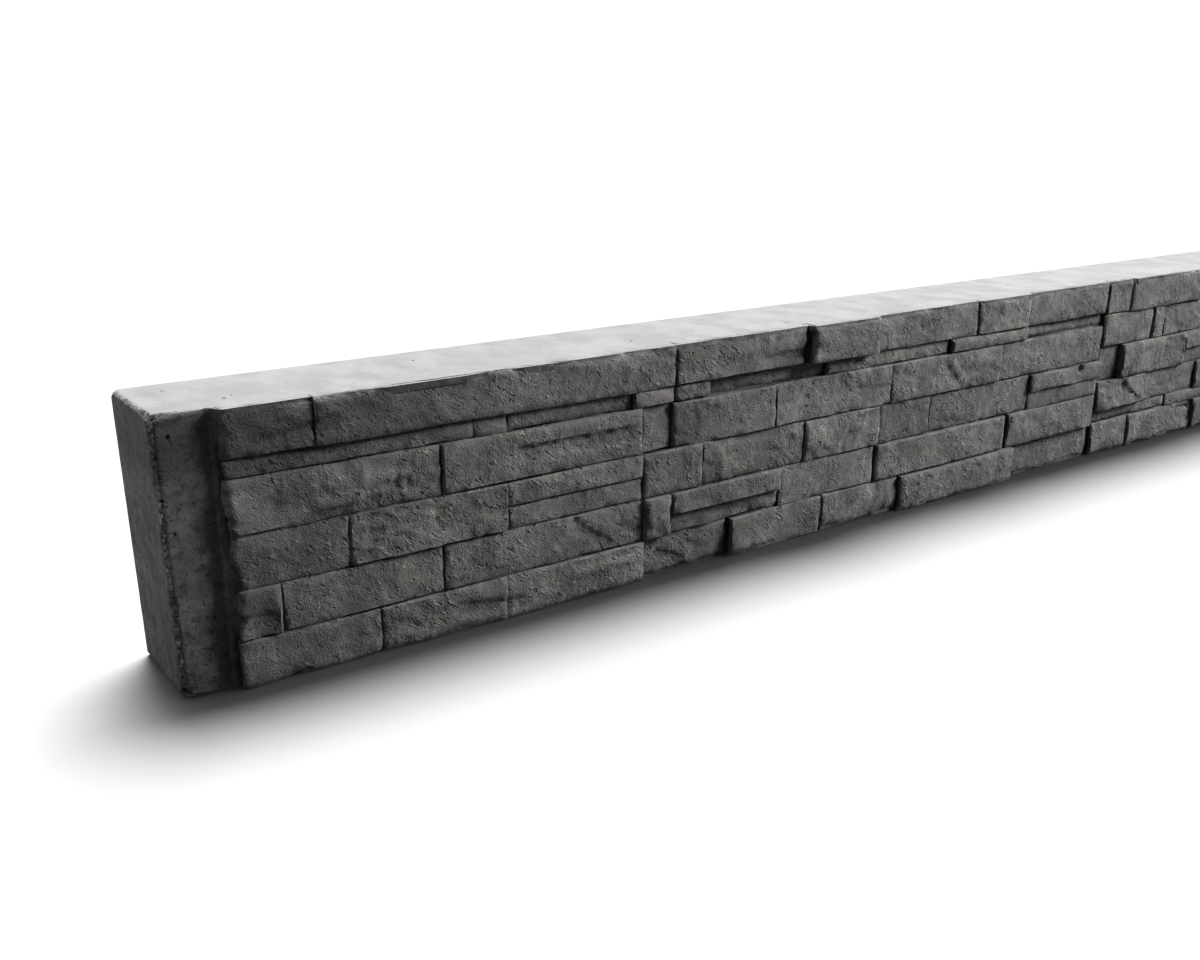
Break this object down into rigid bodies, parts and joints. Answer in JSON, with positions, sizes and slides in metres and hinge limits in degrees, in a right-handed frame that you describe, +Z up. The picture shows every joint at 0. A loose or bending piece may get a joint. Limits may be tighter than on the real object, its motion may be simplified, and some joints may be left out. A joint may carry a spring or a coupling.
{
  "type": "concrete retaining wall sleeper",
  "caption": "Long charcoal concrete sleeper with a stacked-stone face and plain tabs at its ends, laid on edge between posts to hold back earth.",
  "frame": {"origin": "middle of the bed face that the sleeper stands on, halfway between the back and the proudest stone", "axes": "+X along the sleeper, +Y from the stone face to the back, +Z up"},
  "size_m": [2, 0.108, 0.2],
  "materials": {
    "concrete": "matt charcoal concrete, rough on the stone face and smooth on the tabs, top, back and ends"
  },
  "bodies": {
    "root": {"sleeper": "concrete"}
  },
  "joints": []
}
